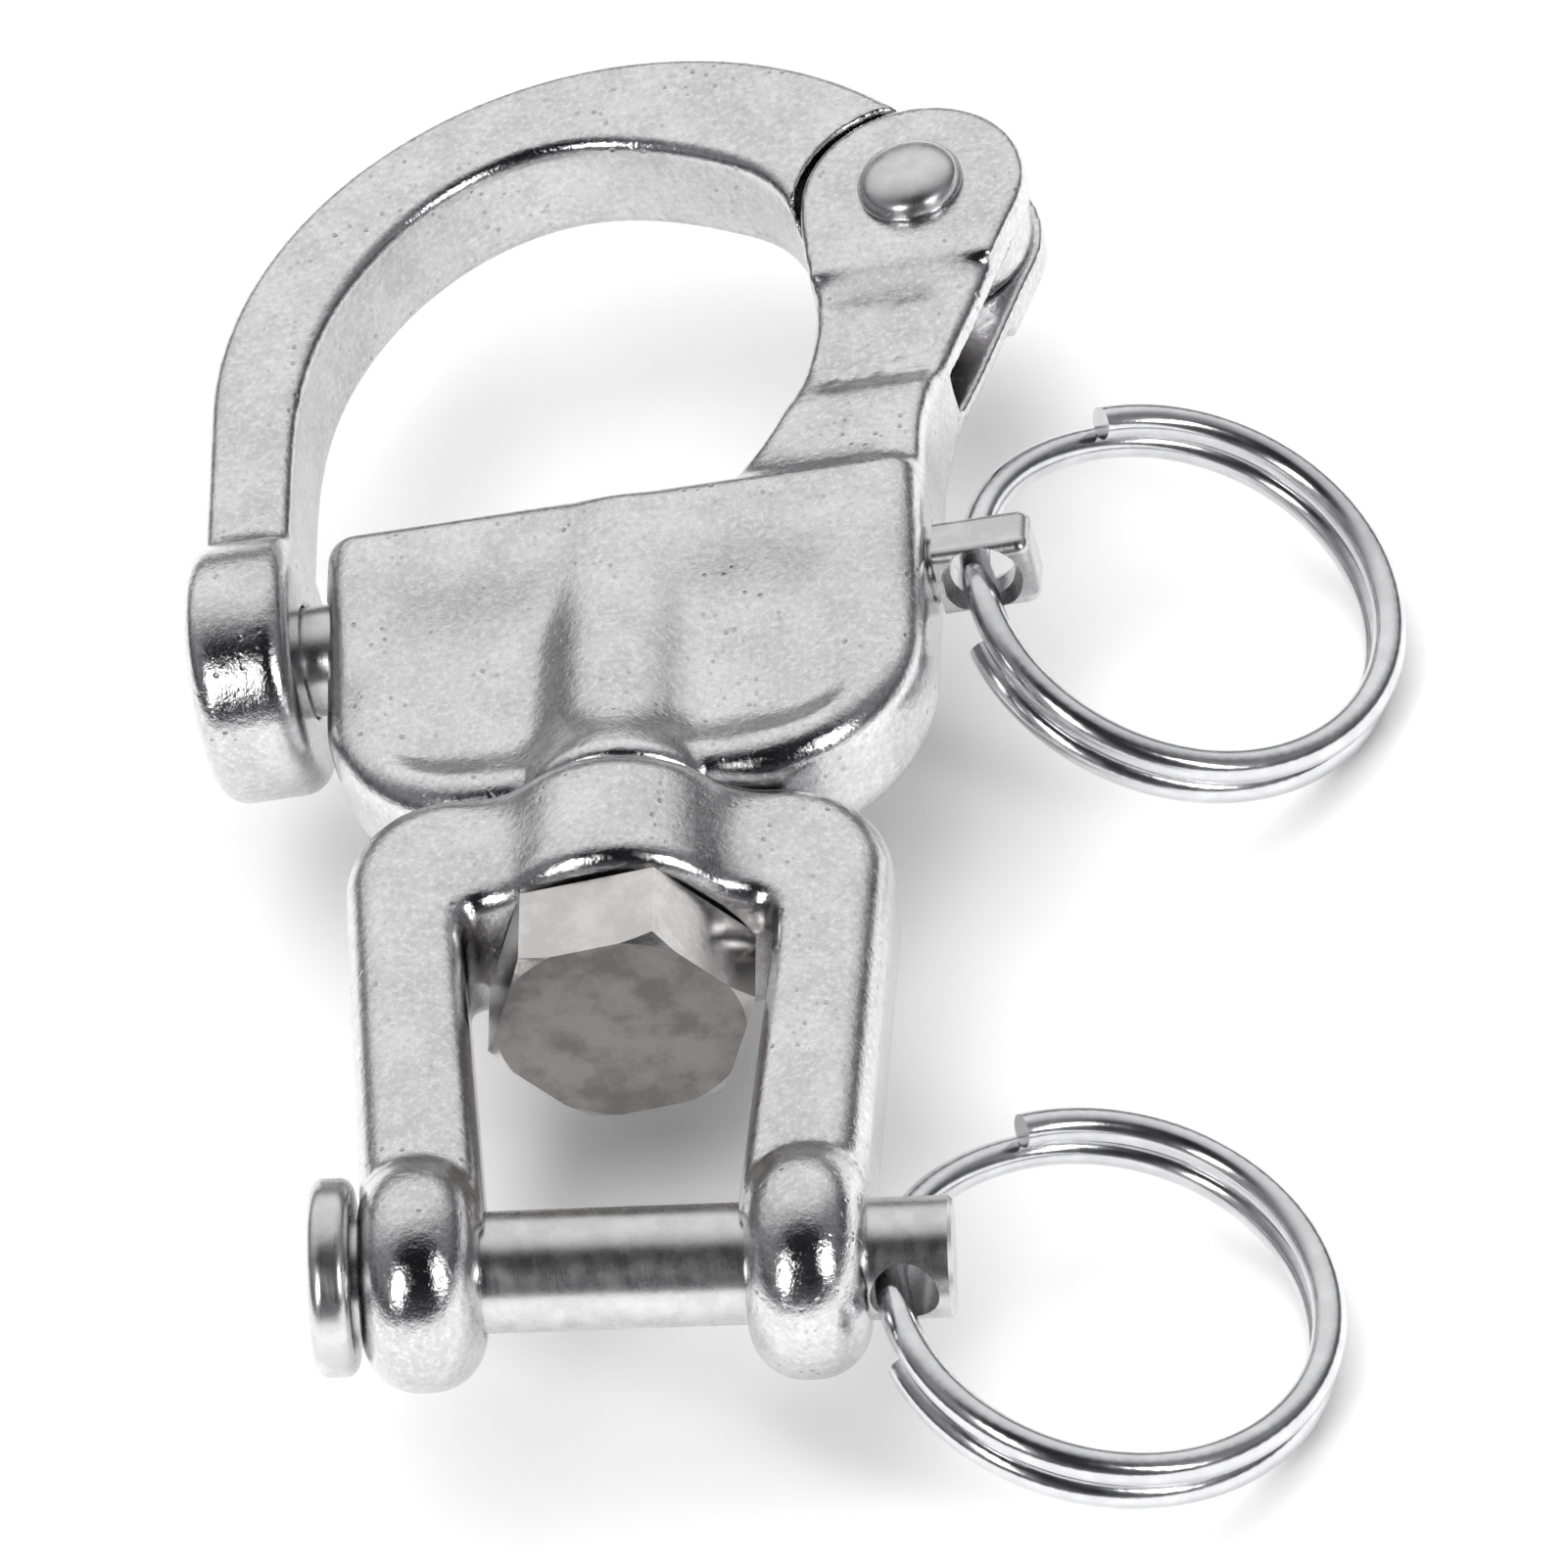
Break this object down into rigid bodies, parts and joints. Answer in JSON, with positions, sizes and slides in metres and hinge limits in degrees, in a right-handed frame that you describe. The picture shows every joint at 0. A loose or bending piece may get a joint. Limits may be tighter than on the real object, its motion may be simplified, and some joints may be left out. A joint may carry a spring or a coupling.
{
  "type": "snap shackle",
  "caption": "Swivelling snap shackle: hinged bail locked by a spring plunger with a pull ring, and a clevis jaw with a headed pin held by a split ring.",
  "frame": {"origin": "middle of the clevis pin, on the axis of the swivel", "axes": "+Y along the shackle from the jaw to the bail, +X across it towards the plunger's eye, +Z out of the front face; the shackle lies on its back"},
  "size_m": [0.0601, 0.0946, 0.0195],
  "materials": {
    "cast_steel": "investment cast, tumbled and polished",
    "rivet_steel": "bright, peened",
    "plunger_steel": "turned and polished",
    "spring_steel": "drawn wire",
    "bolt_steel": "forged head, polished sides, dull end",
    "pin_steel": "turned, slightly worn",
    "ring_wire": "bright drawn wire"
  },
  "bodies": {
    "casting": {"body": "cast_steel", "swivel_bolt": "bolt_steel", "hinge_rivet": "rivet_steel", "plunger_spring": "spring_steel"},
    "bail": {"bail": "cast_steel"},
    "plunger": {"plunger": "plunger_steel"},
    "release_ring": {"release_ring": "ring_wire"},
    "fork": {"fork": "cast_steel"},
    "clevis_pin": {"clevis_pin": "pin_steel"},
    "clevis_ring": {"clevis_ring": "ring_wire"}
  },
  "joints": [
    {"name": "bail_hinge", "type": "hinge", "parent": "casting", "child": "bail", "pos_m": [0.0151, 0.06885, 0], "axis": [0, 0, 1], "range_deg": [-105, 0]},
    {"name": "plunger_slide", "type": "slide", "parent": "casting", "child": "plunger", "axis": [1, 0, 0], "range_m": [0, 0.0041], "stiffness_N_per_m": 900, "springref_m": -0.004, "deforming": ["plunger_spring"]},
    {"name": "release_ring_swing", "type": "hinge", "parent": "plunger", "child": "release_ring", "pos_m": [0.01825, 0.04435, 0], "axis": [0, -0.9903, 0.1392], "range_deg": [-30, 90]},
    {"name": "fork_swivel", "type": "hinge", "parent": "casting", "child": "fork", "pos_m": [0, 0.025, 0], "axis": [0, 1, 0], "continuous": true},
    {"name": "clevis_pin_turn", "type": "hinge", "parent": "fork", "child": "clevis_pin", "pos_m": [0, 0, 0], "axis": [0.9878, 0, -0.1556], "continuous": true},
    {"name": "clevis_ring_swing", "type": "hinge", "parent": "clevis_pin", "child": "clevis_ring", "pos_m": [0.014, 0, -0.0022], "axis": [0.0217, -0.9903, 0.1375], "range_deg": [-30, 60]}
  ]
}
